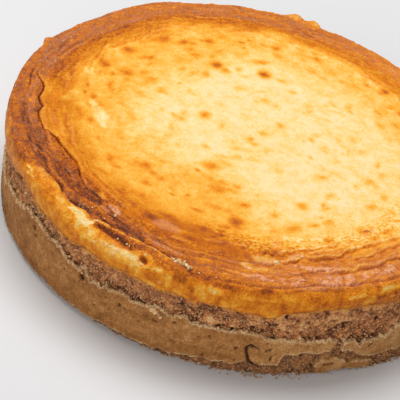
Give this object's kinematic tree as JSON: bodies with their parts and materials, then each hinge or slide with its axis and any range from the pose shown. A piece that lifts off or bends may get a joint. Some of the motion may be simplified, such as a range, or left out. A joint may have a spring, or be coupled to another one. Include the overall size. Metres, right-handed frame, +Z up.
{
  "type": "whole new york cheesecake",
  "caption": "Whole round baked cheesecake: a cup of pressed biscuit crumb filled with browned cream cheese filling that has a raised rim and a sunken middle.",
  "frame": {"origin": "middle of the flat underside, at the centre of the bounding box's bottom", "axes": "+Z up out of the browned top, -Y towards the side that the picture shows nearest, +X to its right"},
  "size_m": [0.2401, 0.2416, 0.053],
  "materials": {
    "crumb_crust": "baked biscuit crumb: a smooth compacted tan skin with pinholes where it met the tin, rough and porous brown crumb where that skin is torn off",
    "cheese_filling": "baked cream cheese filling: cream in the middle, golden then orange-brown towards the rim, with a soft moist sheen and small browned spots"
  },
  "bodies": {
    "root": {"crumb_crust": "crumb_crust", "cheese_filling": "cheese_filling"}
  },
  "joints": []
}
